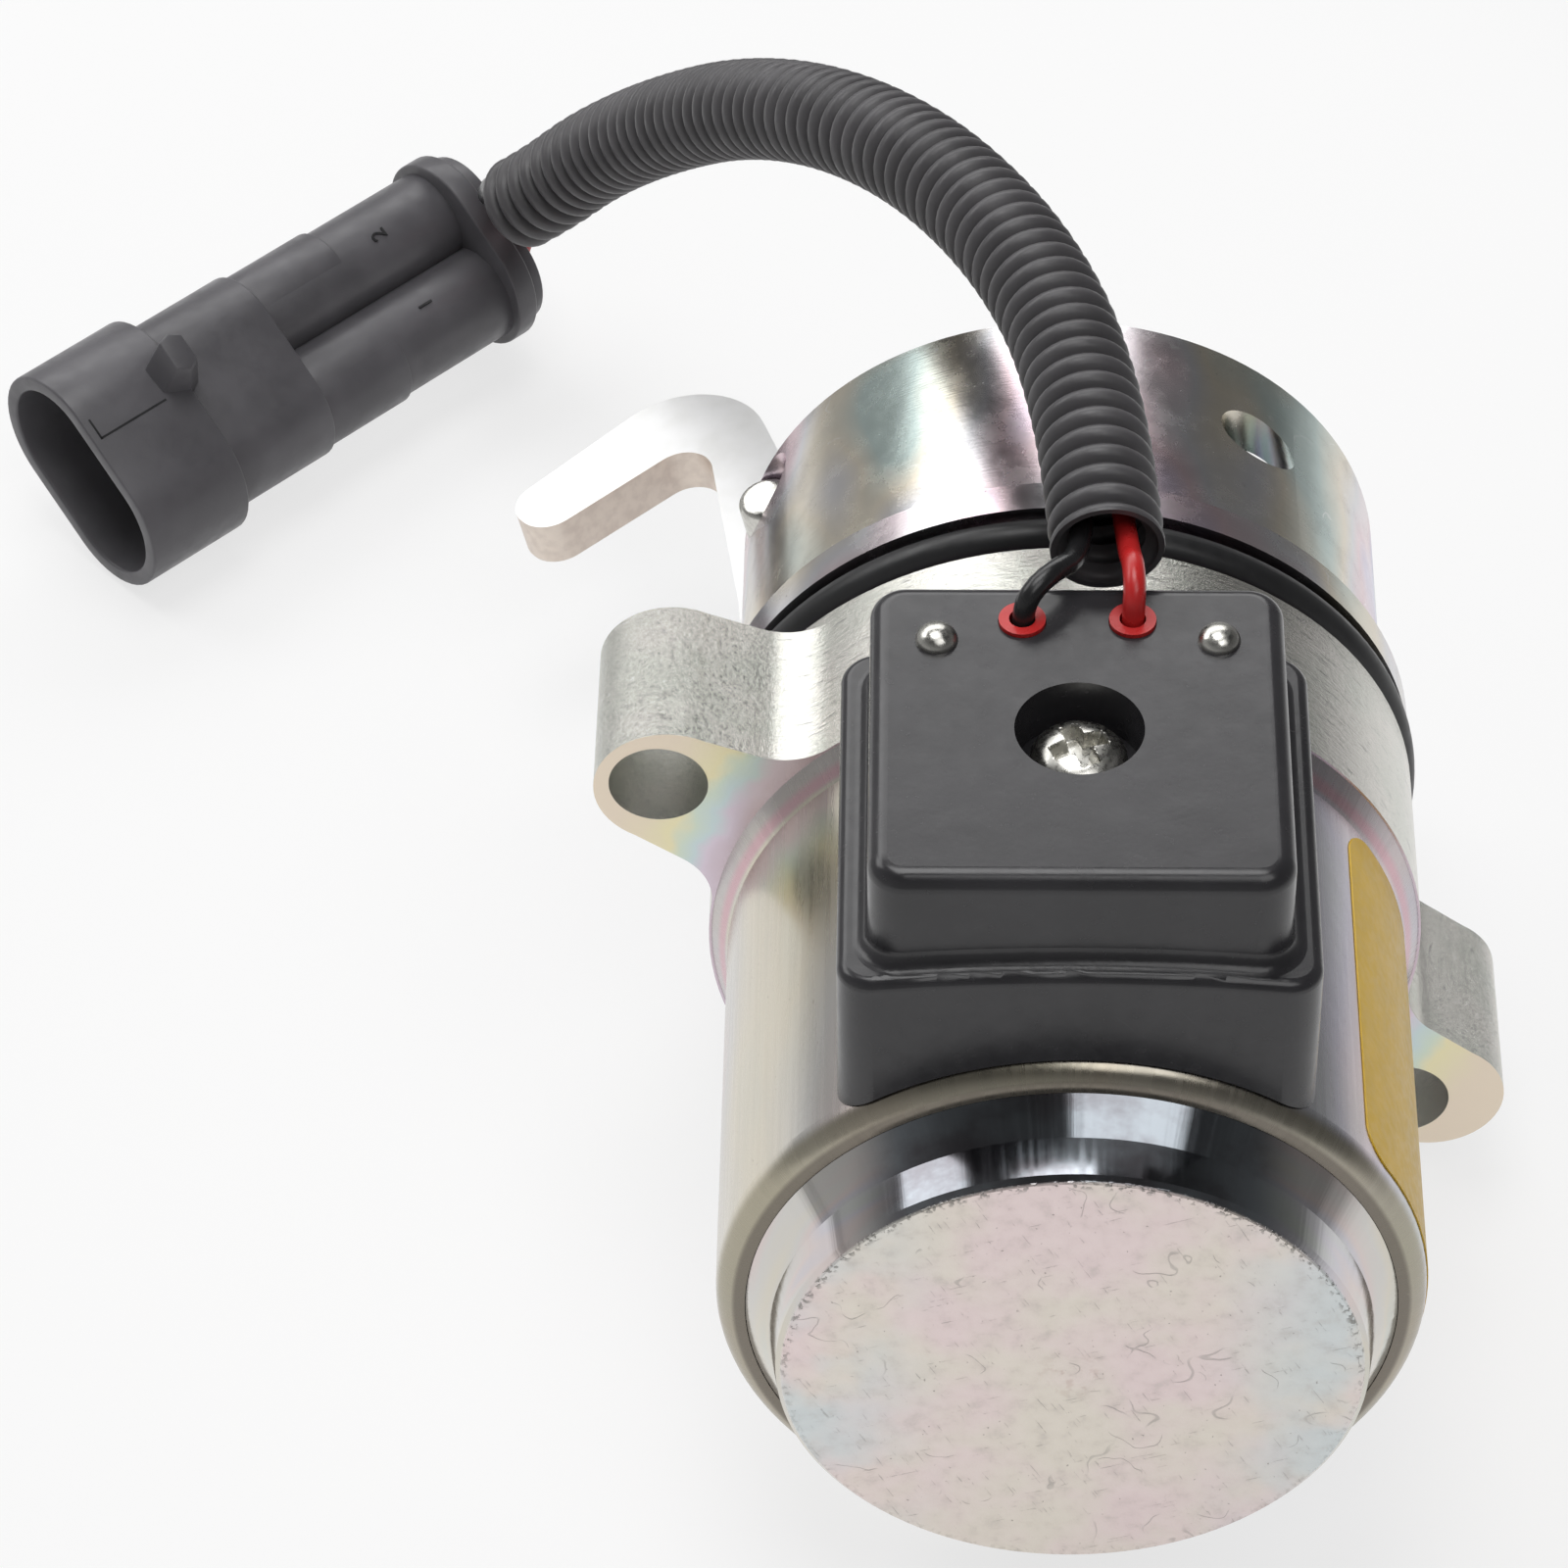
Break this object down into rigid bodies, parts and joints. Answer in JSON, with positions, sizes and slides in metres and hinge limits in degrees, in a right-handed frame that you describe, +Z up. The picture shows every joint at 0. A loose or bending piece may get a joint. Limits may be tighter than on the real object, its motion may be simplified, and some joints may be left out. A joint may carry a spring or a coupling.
{
  "type": "fuel shutoff solenoid",
  "caption": "Round plated solenoid with mounting ears, a hook lever at its open front collar, a terminal cover and a conduit lead with a plug-in connector.",
  "frame": {"origin": "on the plunger axis, where the rear face of the pilot lip meets it", "axes": "+Y along the plunger axis towards the engine, +Z up through the terminal cover, +X to the right seen from behind"},
  "size_m": [0.1469, 0.1785, 0.0875],
  "materials": {
    "barrel_zinc": "yellow iridescent zinc plate",
    "plug_zinc": "dull zinc plate with scratches",
    "flange_forging": "rough zinc plated forging",
    "collar_zinc": "bright turned zinc plate",
    "lever_plate": "bright plated steel",
    "pin_steel": "ground steel",
    "soft_iron": "machined soft iron",
    "bronze": "sintered bronze",
    "brass_tube": "drawn brass",
    "copper_winding": "enamelled copper wire",
    "bobbin_plastic": "natural moulded plastic",
    "cover_plastic": "black moulded plastic with a soft gloss",
    "board_plastic": "phenolic board",
    "seal_rubber": "black rubber",
    "red_plastic": "red sleeve and wire insulation",
    "black_insulation": "black wire insulation",
    "conduit_plastic": "black corrugated plastic conduit",
    "connector_plastic": "dark grey moulded plastic",
    "label_yellow": "blank yellow label"
  },
  "bodies": {
    "root": {"barrel": "barrel_zinc", "end_plug": "plug_zinc", "mounting_flange": "flange_forging", "front_collar": "collar_zinc", "pivot_pin": "pin_steel", "terminal_pins": "pin_steel", "cover_screw": "pin_steel", "return_spring": "pin_steel", "fixed_pole": "soft_iron", "rod_bush": "bronze", "guide_tube": "brass_tube", "contact_blades": "brass_tube", "coil_winding": "copper_winding", "coil_bobbin": "bobbin_plastic", "terminal_cover": "cover_plastic", "terminal_board": "board_plastic", "o_ring": "seal_rubber", "left_wire_seal": "seal_rubber", "right_wire_seal": "seal_rubber", "left_sleeve": "red_plastic", "right_sleeve": "red_plastic", "red_wire": "red_plastic", "black_wire": "black_insulation", "conduit": "conduit_plastic", "connector_housing": "connector_plastic", "yellow_label": "label_yellow"},
    "plunger": {"armature": "soft_iron", "push_rod": "pin_steel", "link_pin": "pin_steel"},
    "lever": {"hook_lever": "lever_plate"}
  },
  "joints": [
    {"name": "plunger_slide", "type": "slide", "parent": "root", "child": "plunger", "axis": [0, 1, 0], "range_m": [0, 0.005], "stiffness_N_per_m": 3000, "springref_m": -0.007, "deforming": ["return_spring"]},
    {"name": "lever_swing", "type": "hinge", "parent": "root", "child": "lever", "pos_m": [-0.02406, 0.0246, -0.00511], "axis": [-0.2079, 0, 0.9781], "range_deg": [0, 11.5]}
  ],
  "couplings": [
    {"joint": "lever_swing", "follows": "plunger_slide", "rad_per_m": 40.071}
  ]
}
